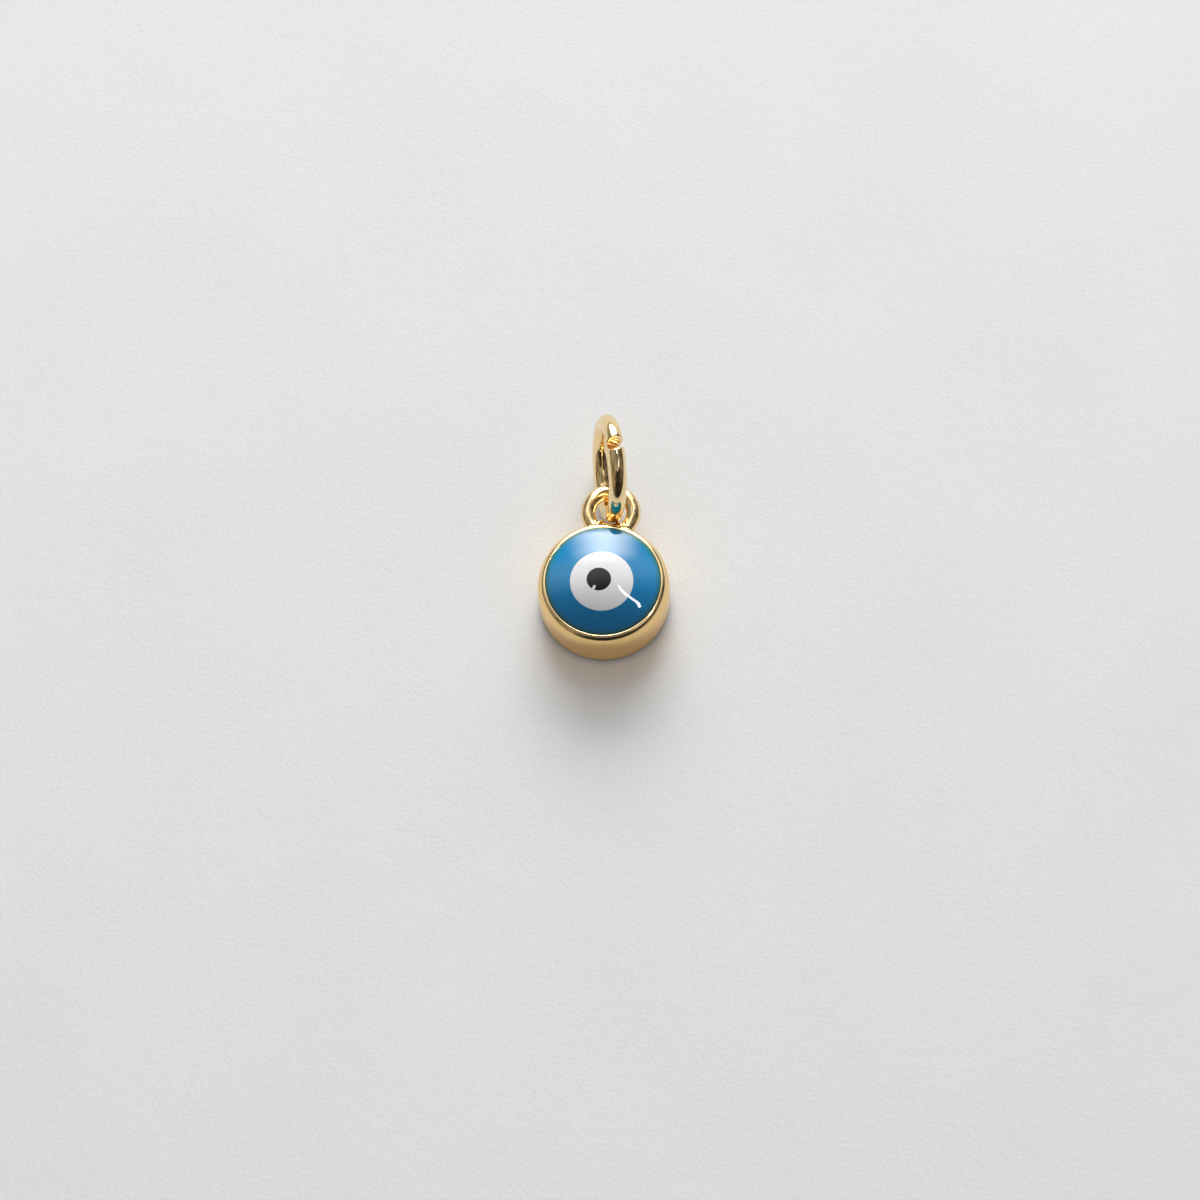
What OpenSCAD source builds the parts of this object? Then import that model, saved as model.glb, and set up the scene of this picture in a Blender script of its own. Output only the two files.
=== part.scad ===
// Evil eye pendant: a round bezel cup set with a low glossy eye, with a loop soldered to its side
// and an open jump ring through the loop. It lies on its back, as it does on a table.
// Millimetres, +Z up out of the eye. The origin is the centre of the cup's back, +Y points to the loop.

/* [Bezel cup] */
// Outside diameter of the cup
cup_d = 6; // [5:0.1:8]
// Height of the cup, from its back to the crest of its lip
cup_h = 2.42; // [2.2:0.01:3]
// Thickness of the cup's wall
wall_t = 0.4; // [0.3:0.01:0.5]
// Thickness of the closed back
back_t = 0.5; // [0.3:0.05:0.7]
// Radius of the rounded edge round the back
foot_r = 0.25; // [0.1:0.05:0.4]
// How far the wall's outer side curves in on its way up to the crest of the lip
lip_lean = 0.34; // [0.1:0.01:0.4]
// How far below the crest of the lip the wall starts to curve in
lip_fall = 0.8; // [0.3:0.05:1]
// Radius of the lip's inner edge
lip_in_r = 0.04; // [0.02:0.01:0.08]

/* [Eye] */
// How far the eye's side stands up above the crest of the lip
eye_rise = 0.05; // [0.02:0.01:0.4]
// Rise of the dome from the top of the eye's side to its crown
dome_h = 0.26; // [0.2:0.01:0.6]
// Radius of the eye's rounded shoulder
shoulder_r = 0.06; // [0.03:0.01:0.3]
// Diameter of the white disc
white_d = 2.87; // [2.2:0.01:3.6]
// Place of the white disc's centre across the eye
white_x = -0.05; // [-0.2:0.01:0.2]
// Place of the white disc's centre along the eye, towards the loop
white_y = -0.09; // [-0.2:0.01:0.2]
// Thickness of the white disc at its centre
white_t = 0.7; // [0.4:0.05:1]
// Diameter of the pupil
pupil_d = 1.11; // [0.8:0.01:1.6]
// Place of the pupil's centre across the eye
pupil_x = -0.18; // [-0.3:0.01:0.3]
// Place of the pupil's centre along the eye, towards the loop
pupil_y = -0.03; // [-0.3:0.01:0.3]
// Thickness of the pupil at its centre
pupil_t = 0.4; // [0.2:0.05:0.6]
// Width of the nick in the pupil's edge
nick_w = 0.12; // [0.1:0.01:0.25]
// How far the nick reaches in from the pupil's edge
nick_l = 0.21; // [0.15:0.01:0.4]
// Direction of the nick, turned from +X
nick_at = 246; // [0:1:359]

/* [Loop] */
// Diameter of the loop's wire
loop_wire_d = 0.68; // [0.5:0.02:0.8]
// Diameter of the hole in the loop
loop_bore_d = 1.4; // [1.3:0.05:2]
// Strip of solder left between the cup's wall and the edge of the loop's hole
loop_foot = 0.09; // [0.02:0.01:0.3]
// How much wider than the wire each bead of solder at the loop's feet is
solder_add = 0.12; // [0.04:0.02:0.2]

/* [Jump ring] */
// Outside diameter of the jump ring
ring_d = 5; // [4.5:0.1:7]
// Diameter of the jump ring's wire
ring_wire_d = 0.8; // [0.6:0.02:0.9]
// How far the ring leans over to its right
ring_lean = 9.3; // [0:0.1:15]
// How far the ring is turned on the table
ring_turn = 12; // [0:1:15]
// Place of the ring's centre across the pendant
ring_x = -0.18; // [-0.25:0.01:0]
// Gap between the two ends on the inner side of the ring
ring_slit = 0.05; // [0.02:0.01:0.3]
// Slope of each end's face, from straight across the wire; the cut opens outwards
ring_bevel = 20; // [5:1:35]
// Place of the cut round the ring, up from its far side
ring_cut_at = 85; // [40:1:120]
// Slant of the cut across the wire
ring_cut_slant = 11; // [-15:1:15]

/* [Clearances] */
// Gap round the eye in the cup
eye_gap = 0.02; // [0.01:0.01:0.05]
// Gap round the white disc and the pupil in their recesses
inlay_gap = 0.015; // [0.01:0.005:0.04]
// Gap between the jump ring and the loop
link_gap = 0.09; // [0.05:0.01:0.2]
// Gap between the jump ring and the cup's wall
stand_gap = 0.02; // [0.01:0.01:0.2]
// Gap between the jump ring and the table
table_gap = 0.01; // [0:0.01:0.05]

/* [Hidden] */
$fn = 96;
GOLD = "goldenrod";
PAST = 1;
SOLDER_TURN = 30;
LIP_STEPS = 12;
CREST = 0.01;

cup_r = cup_d / 2;
bore_r = cup_r - wall_t;
foot_x = cup_r - foot_r;
// The curve of the lip and its inner edge leave a flat crest between them
lip_w = min(lip_lean, wall_t - lip_in_r - CREST);
lip_x = cup_r - lip_w;
lip_z = cup_h - lip_fall;
eye_r = bore_r - eye_gap;
eye_base = back_t + eye_gap;
side_top = cup_h + eye_rise;
crown = side_top + dome_h;
dome_r = (pow(eye_r, 2) + pow(dome_h, 2)) / (2 * dome_h);
dome_z = crown - dome_r;
shoulder_x = eye_r - shoulder_r;
shoulder_z = dome_z + sqrt(pow(dome_r - shoulder_r, 2) - pow(shoulder_x, 2));
blend_x = shoulder_x * dome_r / (dome_r - shoulder_r);

white_floor = crown - white_t;
pupil_floor = crown - pupil_t;
nick_from = pupil_d / 2 - nick_l;

loop_wire_r = loop_wire_d / 2;
loop_r = (loop_bore_d + loop_wire_d) / 2;
loop_y = cup_r + loop_foot + loop_bore_d / 2;

wire_r = ring_wire_d / 2;
ring_r = ring_d / 2 - wire_r;
ring_y = cup_r + stand_gap + ring_d / 2;
ring_z = table_gap + wire_r + ring_r * cos(ring_lean);
// The loop's far side crosses the ring's hole as low as the gap between the two lets it
link_reach = ring_r - wire_r - loop_wire_r - link_gap;
link_y = loop_y + loop_r - ring_y;
loop_z = ring_z - sqrt(pow(link_reach, 2) - pow(link_y, 2)) * cos(ring_lean);
solder_r = (loop_wire_d + solder_add) / 2;
solder_y = (pow(cup_r, 2) + pow(loop_y, 2) - pow(loop_r, 2)) / (2 * loop_y);
solder_x = sqrt(pow(cup_r, 2) - pow(solder_y, 2));
cut_h = wire_r + PAST;
cut_w = ring_slit / 2 + (wire_r + cut_h) * tan(ring_bevel);

// Half section of the lip: its outer side is a quarter of an ellipse, its inner edge is rounded
module lip_section() {
    polygon(concat(
        [[bore_r, lip_z]],
        [for (k = [0:LIP_STEPS]) let (t = 90 * k / LIP_STEPS) [lip_x + lip_w * cos(t), lip_z + lip_fall * sin(t)]],
        [[bore_r + lip_in_r, cup_h], [bore_r, cup_h - lip_in_r]]
    ));
    translate([bore_r + lip_in_r, cup_h - lip_in_r]) circle(lip_in_r);
}

// Half section of the cup: closed back with a rounded foot, straight wall, curved lip
module cup_section() {
    square([foot_x, back_t]);
    translate([0, foot_r]) square([cup_r, back_t - foot_r]);
    translate([foot_x, foot_r]) circle(foot_r);
    translate([bore_r, foot_r]) square([wall_t, lip_z - foot_r]);
    lip_section();
}

// Round wire bent to a ring in the plane of the table
module wire_ring(centre_r, thick_r) {
    rotate_extrude() translate([centre_r, 0]) circle(thick_r);
}

// Beads of solder at the loop's feet
module solder() {
    for (side = [-1, 1])
        translate([side * solder_x, solder_y, loop_z]) rotate([90, 0, side * SOLDER_TURN]) sphere(solder_r);
}

// Bezel cup and the level loop at its side, soldered into one; the loop ends inside the cup's wall
module setting() {
    color(GOLD) {
        rotate_extrude() cup_section();
        difference() {
            union() {
                translate([0, loop_y, loop_z]) wire_ring(loop_r, loop_wire_r);
                solder();
            }
            cylinder(r = cup_r - wall_t / 2, h = cup_h + PAST);
        }
    }
}

// Half section of the whole eye: straight side, rounded shoulder, low dome
module eye_section() {
    translate([0, eye_base]) square([eye_r, shoulder_z - eye_base]);
    translate([shoulder_x, shoulder_z]) circle(shoulder_r);
    intersection() {
        translate([0, dome_z]) circle(dome_r);
        translate([0, eye_base]) square([blend_x, crown + PAST]);
    }
}

// What lies under the dome's surface inside a round of the given radius, down to the given floor
module under_dome(x, y, r, floor_z) {
    intersection() {
        translate([x, y, floor_z]) cylinder(r = r, h = crown - floor_z + PAST);
        translate([0, 0, dome_z]) sphere(dome_r);
    }
}

// Tongue with a round tip that reaches in to the pupil's nick, made thinner by the gap all round
module nick(gap) {
    translate([pupil_x, pupil_y, white_floor - PAST]) rotate([0, 0, nick_at]) {
        translate([nick_from + nick_w / 2, 0, 0]) cylinder(d = nick_w - 2 * gap, h = white_t + 2 * PAST);
        translate([nick_from + nick_w / 2, gap - nick_w / 2, 0])
            cube([nick_l, nick_w - 2 * gap, white_t + 2 * PAST]);
    }
}

// Blue field of the eye, with a round recess for the white disc
module cabochon() {
    color("steelblue") difference() {
        rotate_extrude() eye_section();
        translate([white_x, white_y, white_floor])
            cylinder(r = white_d / 2, h = white_t + PAST);
    }
}

// White disc, flush with the dome, with a recess for the pupil and a tongue for the pupil's nick
module eye_white() {
    color("white") difference() {
        under_dome(white_x, white_y, white_d / 2 - inlay_gap, white_floor + inlay_gap);
        difference() {
            translate([pupil_x, pupil_y, pupil_floor]) cylinder(r = pupil_d / 2, h = pupil_t + PAST);
            nick(inlay_gap);
        }
    }
}

// Pupil, flush with the dome, with a nick in its edge
module eye_pupil() {
    color("black") difference() {
        under_dome(pupil_x, pupil_y, pupil_d / 2 - inlay_gap, pupil_floor + inlay_gap);
        nick(0);
    }
}

// What is missing between the ring's ends: a slit on the inner side that opens outwards
module ring_cut() {
    rotate([0, 0, ring_cut_at]) translate([ring_r, 0, 0]) rotate([ring_cut_slant, 0, 0])
        translate([0, 0, -PAST]) linear_extrude(2 * PAST)
            polygon([
                [cut_h, -cut_w], [cut_h, cut_w], [-wire_r, ring_slit / 2],
                [-cut_h, ring_slit / 2], [-cut_h, -ring_slit / 2], [-wire_r, -ring_slit / 2],
            ]);
}

// Jump ring standing on its edge through the loop
module jump_ring() {
    color(GOLD) translate([ring_x, ring_y, ring_z])
        rotate([0, 0, ring_turn]) rotate([0, ring_lean, 0]) rotate([90, 0, 90])
            difference() {
                wire_ring(ring_r, wire_r);
                ring_cut();
            }
}

setting();
cabochon();
eye_white();
eye_pupil();
jump_ring();
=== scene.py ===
"""Looks of the evil eye pendant: fine meshes, finishes, paper table, window light and camera.

The pendant lies on its back on a sheet of pale paper, with light from a window behind it. All sizes are
in millimetres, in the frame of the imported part: +Z up out of the eye, +Y towards the loop.
"""

from __future__ import annotations

import logging
import math
from abc import ABC, abstractmethod
from collections.abc import Callable, Sequence
from dataclasses import dataclass, field
from enum import Enum

import bmesh
import bpy
from mathutils import Matrix, Vector, geometry


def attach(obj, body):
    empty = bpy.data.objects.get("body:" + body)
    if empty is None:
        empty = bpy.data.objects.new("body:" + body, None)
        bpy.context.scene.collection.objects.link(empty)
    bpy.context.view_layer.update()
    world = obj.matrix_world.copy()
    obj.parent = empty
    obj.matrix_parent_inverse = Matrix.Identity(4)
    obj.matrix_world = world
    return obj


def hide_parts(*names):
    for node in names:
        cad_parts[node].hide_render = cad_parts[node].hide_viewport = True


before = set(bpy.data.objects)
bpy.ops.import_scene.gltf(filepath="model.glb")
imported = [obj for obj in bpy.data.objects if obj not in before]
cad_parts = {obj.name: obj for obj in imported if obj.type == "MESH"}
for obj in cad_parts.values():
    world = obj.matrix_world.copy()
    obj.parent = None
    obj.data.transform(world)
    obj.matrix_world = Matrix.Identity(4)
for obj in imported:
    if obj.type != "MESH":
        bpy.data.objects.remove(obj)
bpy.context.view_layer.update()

MM = 0.001
TURN = 2 * math.pi
QUARTER = math.pi / 2
BODY = "root"
CREASE = math.radians(32)
log = logging.getLogger("pendant")

Colour = tuple[float, float, float]
Flat = tuple[float, float]
Row = list[int]
DAYLIGHT: Colour = (1.0, 1.008, 1.005)
RESIN_IOR = 1.5
TONE_SPAN: Flat = (0.35, 0.65)
MARK_SPAN: Flat = (0.3, 0.7)


def linear(red: float, green: float, blue: float) -> Colour:
    """Turns a screen colour into the linear colour that the shaders take.

    Args:
        red: Red of the screen colour, 0 to 255.
        green: Green of the screen colour, 0 to 255.
        blue: Blue of the screen colour, 0 to 255.

    Returns:
        The three linear parts, 0 to 1.
    """
    knee, slope, offset, power, full = 0.04045, 12.92, 0.055, 2.4, 255

    def part(value: float) -> float:
        """Gives one linear part."""
        share = value / full
        return share / slope if share <= knee else ((share + offset) / (1 + offset)) ** power

    return part(red), part(green), part(blue)


def arc_row(centre: Flat, radius: float, start: float, end: float, steps: int = 10) -> list[Flat]:
    """Gives the points of an arc.

    Args:
        centre: Centre of the arc.
        radius: Its radius.
        start: Angle of its first point.
        end: Angle of its last point.
        steps: How many equal steps it has.

    Returns:
        The points, each as x and y.
    """
    angles = [start + (end - start) * step / steps for step in range(steps + 1)]
    return [(centre[0] + radius * math.cos(a), centre[1] + radius * math.sin(a)) for a in angles]


def round_row(radius: float, centre: Flat = (0.0, 0.0), steps: int = 192) -> list[Flat]:
    """Gives the points of a circle, anticlockwise, each as x and y."""
    return arc_row(centre, radius, 0, TURN, steps)[:-1]


def blend(low: float, high: float, value: float) -> float:
    """Gives a smooth step from 0 at low to 1 at high.

    Args:
        low: Where the step starts.
        high: Where it ends.
        value: The value that is looked up.

    Returns:
        The height of the step there.
    """
    share = min(1.0, max(0.0, (value - low) / (high - low)))
    return share * share * (3 - 2 * share)


class MeshSheet:
    """Points and faces of one piece, in millimetres, gathered until the piece is made."""

    def __init__(self) -> None:
        """Starts with no points and no faces."""
        self.points: list[Vector] = []
        self.faces: list[tuple[int, ...]] = []

    def row(self, points: Sequence[Sequence[float]]) -> Row:
        """Adds a row of points.

        Args:
            points: The points, each as x, y and z.

        Returns:
            Their numbers in the sheet.
        """
        first = len(self.points)
        self.points.extend(Vector(point) for point in points)
        return list(range(first, len(self.points)))

    def level_row(self, points: Sequence[Flat], height: float) -> Row:
        """Adds a row of flat points at one height and returns their numbers."""
        return self.row([(x, y, height) for x, y in points])

    def face(self, corners: Sequence[int]) -> None:
        """Adds one face over the numbered points."""
        self.faces.append(tuple(corners))

    def bridge(self, first: Row, second: Row) -> None:
        """Joins two closed rows of equal length with a band of four-sided faces.

        Args:
            first: The one row.
            second: The other row.
        """
        for here in range(len(first)):
            there = (here + 1) % len(first)
            self.face((first[here], first[there], second[there], second[here]))

    def make(self, name: str) -> bpy.types.Object:
        """Makes the piece, with smooth faces and sharp creases.

        Args:
            name: Name of the piece.

        Returns:
            The new object, in metres.
        """
        mesh = bpy.data.meshes.new(name)
        mesh.from_pydata([point * MM for point in self.points], [], self.faces)
        piece = bpy.data.objects.new(name, mesh)
        bpy.context.scene.collection.objects.link(piece)
        tidy_shading(piece)
        return piece


def tidy_shading(piece: bpy.types.Object) -> None:
    """Turns all faces outwards and smooths them, apart from creases.

    Args:
        piece: The object whose mesh is tidied.
    """
    sheet = bmesh.new()
    sheet.from_mesh(piece.data)
    bmesh.ops.recalc_face_normals(sheet, faces=sheet.faces)
    sheet.to_mesh(piece.data)
    sheet.free()
    piece.data.shade_smooth()
    piece.data.set_sharp_from_angle(angle=CREASE)


def fuse(piece: bpy.types.Object, other: bpy.types.Object) -> None:
    """Joins another closed piece to this one, so that both have a single skin.

    Args:
        piece: The object that keeps its name.
        other: The object that becomes a part of it.
    """
    union = piece.modifiers.new("solder", "BOOLEAN")
    union.operation = "UNION"
    union.solver = "EXACT"
    union.object = other
    graph = bpy.context.evaluated_depsgraph_get()
    joined = bpy.data.meshes.new_from_object(piece.evaluated_get(graph))
    piece.modifiers.clear()
    piece.data = joined
    bpy.data.objects.remove(other)
    tidy_shading(piece)


@dataclass(frozen=True)
class Region:
    """Flat shape with holes, cut into small triangles that a dome can carry.

    Attributes:
        edge: Outline, anticlockwise.
        holes: Outlines of the holes.
        pitch: Spacing of the points inside.
    """

    edge: list[Flat]
    holes: tuple[list[Flat], ...] = ()
    pitch: float = 0.09

    @staticmethod
    def within(x: float, y: float, outline: Sequence[Flat]) -> bool:
        """Tells whether a point lies inside an outline.

        Args:
            x: Place of the point along X.
            y: Place of the point along Y.
            outline: The closed outline.

        Returns:
            True if it lies inside.
        """
        inside = False
        before_x, before_y = outline[-1]
        for here_x, here_y in outline:
            if (here_y > y) != (before_y > y):
                cross = here_x + (y - here_y) / (before_y - here_y) * (before_x - here_x)
                inside ^= x < cross
            before_x, before_y = here_x, here_y
        return inside

    def holds(self, x: float, y: float) -> bool:
        """Tells whether a point lies in the shape and in none of its holes."""
        return self.within(x, y, self.edge) and not any(self.within(x, y, hole) for hole in self.holes)

    def inner_points(self) -> list[Flat]:
        """Gives evenly spread points that keep clear of all outlines.

        Returns:
            The points, each as x and y.
        """
        clear, lift, shift = 0.55 * self.pitch, math.sqrt(3) / 2, 0.5
        rims = [point for outline in (self.edge, *self.holes) for point in outline]
        reach = max(math.hypot(x, y) for x, y in self.edge)
        lines = int(reach / self.pitch) + 1
        found = []
        for line in range(-lines, lines + 1):
            for step in range(-lines, lines + 1):
                x = (step + shift * (line % 2)) * self.pitch
                y = line * self.pitch * lift
                if self.holds(x, y) and all(math.hypot(x - a, y - b) > clear for a, b in rims):
                    found.append((x, y))
        return found

    def triangles(self) -> tuple[list[Flat], list[tuple[int, ...]]]:
        """Cuts the shape into triangles.

        Returns:
            The points, which start with the outline's and the holes' own, and the triangles over them.
        """
        points: list[Flat] = []
        ties: list[tuple[int, int]] = []
        for outline in (self.edge, *self.holes):
            first, count = len(points), len(outline)
            points.extend(outline)
            ties.extend((first + k, first + (k + 1) % count) for k in range(count))
        points.extend(self.inner_points())
        exact = 1e-7
        made = geometry.delaunay_2d_cdt([Vector(p) for p in points], ties, [], 0, exact, False)
        corners = [tuple(v) for v in made[0]]
        kept = []
        for face in made[2]:
            x = sum(corners[k][0] for k in face) / len(face)
            y = sum(corners[k][1] for k in face) / len(face)
            if self.holds(x, y):
                kept.append(tuple(face))
        return corners, kept


@dataclass(frozen=True)
class BentWire:
    """Round wire bent to a part of a circle that lies in the plane of X and Y.

    Attributes:
        bend: Radius of the circle through the wire's middle.
        thickness: Gives the wire's radius at an angle along the bend and an angle round the wire.
        start: Gives the angle along the bend where the wire starts, for each angle round the wire.
        end: Gives the angle along the bend where the wire ends, for each angle round the wire.
        around: Number of points round the wire.
        along: Number of rows along the wire.
        dense_ends: Whether the rows lie closer together near both ends.
        dense_share: Share of the wire, at each end, on which they do.
    """

    bend: float
    thickness: Callable[[float, float], float]
    start: Callable[[float], float]
    end: Callable[[float], float]
    around: int = 56
    along: int = 240
    dense_ends: bool = False
    dense_share: float = 0.06

    def spot(self, along: float, around: float) -> tuple[float, float, float]:
        """Gives the point of the wire's skin at two angles.

        Args:
            along: Angle along the bend.
            around: Angle round the wire, from the outside of the bend.

        Returns:
            The point.
        """
        radius = self.thickness(along, around)
        reach = self.bend + radius * math.cos(around)
        return reach * math.cos(along), reach * math.sin(along), radius * math.sin(around)

    def skin(self, sheet: MeshSheet) -> tuple[Row, Row]:
        """Adds the wire's skin, open at both ends.

        Args:
            sheet: The sheet that takes it.

        Returns:
            The first and the last row of points.
        """
        turns = [TURN * k / self.around for k in range(self.around)]
        limits = [(self.start(turn), self.end(turn)) for turn in turns]
        rows = []
        for step in range(self.along + 1):
            share = step / self.along
            near_end = min(share, 1 - share)
            if self.dense_ends and near_end < self.dense_share:
                near_end = near_end * near_end / self.dense_share
                share = near_end if share < self.dense_share else 1 - near_end
            places = [low + (high - low) * share for low, high in limits]
            rows.append(sheet.row([self.spot(place, turn) for place, turn in zip(places, turns)]))
        for before, after in zip(rows, rows[1:]):
            sheet.bridge(before, after)
        return rows[0], rows[-1]


class Shader:
    """Node sheet of one material, with short ways to add and link nodes."""

    def __init__(self, name: str) -> None:
        """Makes a material with a shader and its output.

        Args:
            name: Name of the material.
        """
        self.material = bpy.data.materials.new(name)
        self.material.use_nodes = True
        self.tree = self.material.node_tree
        self.tree.nodes.clear()
        self.surface = self.node("ShaderNodeBsdfPrincipled")
        self.output = self.node("ShaderNodeOutputMaterial")
        self.link(self.surface.outputs["BSDF"], self.output.inputs["Surface"])

    def node(self, kind: str, **settings: object) -> bpy.types.Node:
        """Adds a node.

        Args:
            kind: Blender's name for the kind of node.
            **settings: Values of the node's own properties.

        Returns:
            The new node.
        """
        made = self.tree.nodes.new(kind)
        for name, value in settings.items():
            setattr(made, name, value)
        return made

    def link(self, source: bpy.types.NodeSocket, target: bpy.types.NodeSocket) -> None:
        """Links an output to an input."""
        self.tree.links.new(source, target)

    def set(self, **values: object) -> None:
        """Sets sockets of the surface shader, whose names are written with _ for a space."""
        for name, value in values.items():
            self.surface.inputs[name.replace("_", " ")].default_value = value

    def glow(self, colour: Colour, strength: float | bpy.types.NodeSocket) -> None:
        """Makes the surface a clear one that only adds light.

        Args:
            colour: Colour of the light.
            strength: How bright it is, or a socket that gives it.
        """
        self.tree.nodes.remove(self.surface)
        self.surface = self.node("ShaderNodeEmission")
        self.surface.inputs["Color"].default_value = (*colour, 1)
        if isinstance(strength, float):
            self.surface.inputs["Strength"].default_value = strength
        else:
            self.link(strength, self.surface.inputs["Strength"])
        both = self.node("ShaderNodeAddShader")
        self.link(self.surface.outputs["Emission"], both.inputs[0])
        self.link(self.node("ShaderNodeBsdfTransparent").outputs["BSDF"], both.inputs[1])
        self.link(both.outputs["Shader"], self.output.inputs["Surface"])

    def black_glow(self) -> None:
        """Makes the surface a black one that mirrors nothing, ready to give its own light."""
        self.set(Base_Color=(0, 0, 0, 1), Roughness=1.0, Specular_IOR_Level=0.0)

    def place(self) -> bpy.types.NodeSocket:
        """Gives the place on the piece, in millimetres.

        Returns:
            The place.
        """
        coordinates = self.node("ShaderNodeTexCoord")
        scale = self.node("ShaderNodeVectorMath", operation="SCALE")
        scale.inputs["Scale"].default_value = 1 / MM
        self.link(coordinates.outputs["Object"], scale.inputs[0])
        return scale.outputs["Vector"]

    def parts(self, vector: bpy.types.NodeSocket) -> bpy.types.NodeOutputs:
        """Splits a vector into its parts X, Y and Z.

        Args:
            vector: The vector.

        Returns:
            The parts, by their names.
        """
        split = self.node("ShaderNodeSeparateXYZ")
        self.link(vector, split.inputs["Vector"])
        return split.outputs

    def face_place(self) -> bpy.types.NodeOutputs:
        """Gives the place on a panel's face as parts that run from 0 to 1, X across and Y up."""
        return self.parts(self.node("ShaderNodeTexCoord").outputs["UV"])

    def reach(self, place: bpy.types.NodeSocket) -> bpy.types.NodeSocket:
        """Gives the distance of a place from the cup's axis.

        Args:
            place: The place.

        Returns:
            The distance.
        """
        flat = self.node("ShaderNodeVectorMath", operation="MULTIPLY")
        flat.inputs[1].default_value = (1, 1, 0)
        self.link(place, flat.inputs[0])
        length = self.node("ShaderNodeVectorMath", operation="LENGTH")
        self.link(flat.outputs["Vector"], length.inputs[0])
        return length.outputs["Value"]

    def scaled(self, colour: bpy.types.NodeSocket, share: bpy.types.NodeSocket) -> bpy.types.NodeSocket:
        """Gives a colour made brighter or darker by a share.

        Args:
            colour: The colour.
            share: How much of it there is.

        Returns:
            The new colour.
        """
        made = self.node("ShaderNodeVectorMath", operation="SCALE")
        self.link(colour, made.inputs[0])
        self.link(share, made.inputs["Scale"])
        return made.outputs["Vector"]

    def noise(self, place: bpy.types.NodeSocket, size: float, detail: float = 2.0) -> bpy.types.NodeSocket:
        """Adds cloudy noise.

        Args:
            place: Where the noise is read.
            size: Size of its clouds in millimetres.
            detail: How many finer layers it has.

        Returns:
            The noise, about 0.5 on average.
        """
        cloud = self.node("ShaderNodeTexNoise")
        cloud.inputs["Scale"].default_value = 1 / size
        cloud.inputs["Detail"].default_value = detail
        self.link(place, cloud.inputs["Vector"])
        return cloud.outputs["Fac"]

    def spread(self, value: bpy.types.NodeSocket, low: float, high: float, floor: float, top: float,
               smooth: bool = False) -> bpy.types.NodeSocket:
        """Maps a value from one range to another, and holds it there.

        Args:
            value: The value that is mapped.
            low: Start of its own range.
            high: End of its own range.
            floor: What low becomes.
            top: What high becomes.
            smooth: Whether the change starts and ends softly.

        Returns:
            The mapped value.
        """
        mapping = self.node("ShaderNodeMapRange", interpolation_type="SMOOTHSTEP" if smooth else "LINEAR")
        for name, number in (("From Min", low), ("From Max", high), ("To Min", floor), ("To Max", top)):
            mapping.inputs[name].default_value = number
        self.link(value, mapping.inputs["Value"])
        return mapping.outputs["Result"]

    def combine(self, operation: str, first: bpy.types.NodeSocket, second: bpy.types.NodeSocket | float
                ) -> bpy.types.NodeSocket:
        """Combines two values by a named operation.

        Args:
            operation: Blender's name of the operation.
            first: The first value.
            second: The second value, a socket or a number.

        Returns:
            The result.
        """
        maths = self.node("ShaderNodeMath", operation=operation)
        self.link(first, maths.inputs[0])
        if isinstance(second, float):
            maths.inputs[1].default_value = second
        else:
            self.link(second, maths.inputs[1])
        return maths.outputs["Value"]

    def mix(self, share: bpy.types.NodeSocket, first: Colour | bpy.types.NodeSocket,
            second: Colour | bpy.types.NodeSocket) -> bpy.types.NodeSocket:
        """Mixes two colours.

        Args:
            share: How much of the second colour there is.
            first: The first colour, or a socket that gives it.
            second: The second colour, or a socket that gives it.

        Returns:
            The mixed colour.
        """
        mixer = self.node("ShaderNodeMix", data_type="RGBA")
        self.link(share, mixer.inputs["Factor"])
        for colour, socket in ((first, mixer.inputs[6]), (second, mixer.inputs[7])):
            if isinstance(colour, tuple):
                socket.default_value = (*colour, 1)
            else:
                self.link(colour, socket)
        return mixer.outputs[2]

    def bump(self, height: bpy.types.NodeSocket, depth: float, strength: float = 1.0) -> None:
        """Roughens the surface.

        Args:
            height: The relief, 0 to 1.
            depth: Depth of the relief in millimetres.
            strength: How strongly it shows.
        """
        relief = self.node("ShaderNodeBump")
        relief.inputs["Distance"].default_value = depth * MM
        relief.inputs["Strength"].default_value = strength
        self.link(height, relief.inputs["Height"])
        self.link(relief.outputs["Normal"], self.surface.inputs["Normal"])


class Finish(ABC):
    """What every finish can do."""

    @abstractmethod
    def material(self) -> bpy.types.Material:
        """Makes the material."""

    def dress(self, piece: bpy.types.Object) -> None:
        """Gives the piece this finish and no other."""
        piece.data.materials.clear()
        piece.data.materials.append(self.material())


class Polish(Enum):
    """How the gold plate is worked."""

    MIRROR = "polished to a mirror all over"
    SATIN_WALL = "satin on the cup's wall, polished on the lip and the loop"
    SHEARED = "left rough by the cutter, with fine stripes across"


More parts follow.
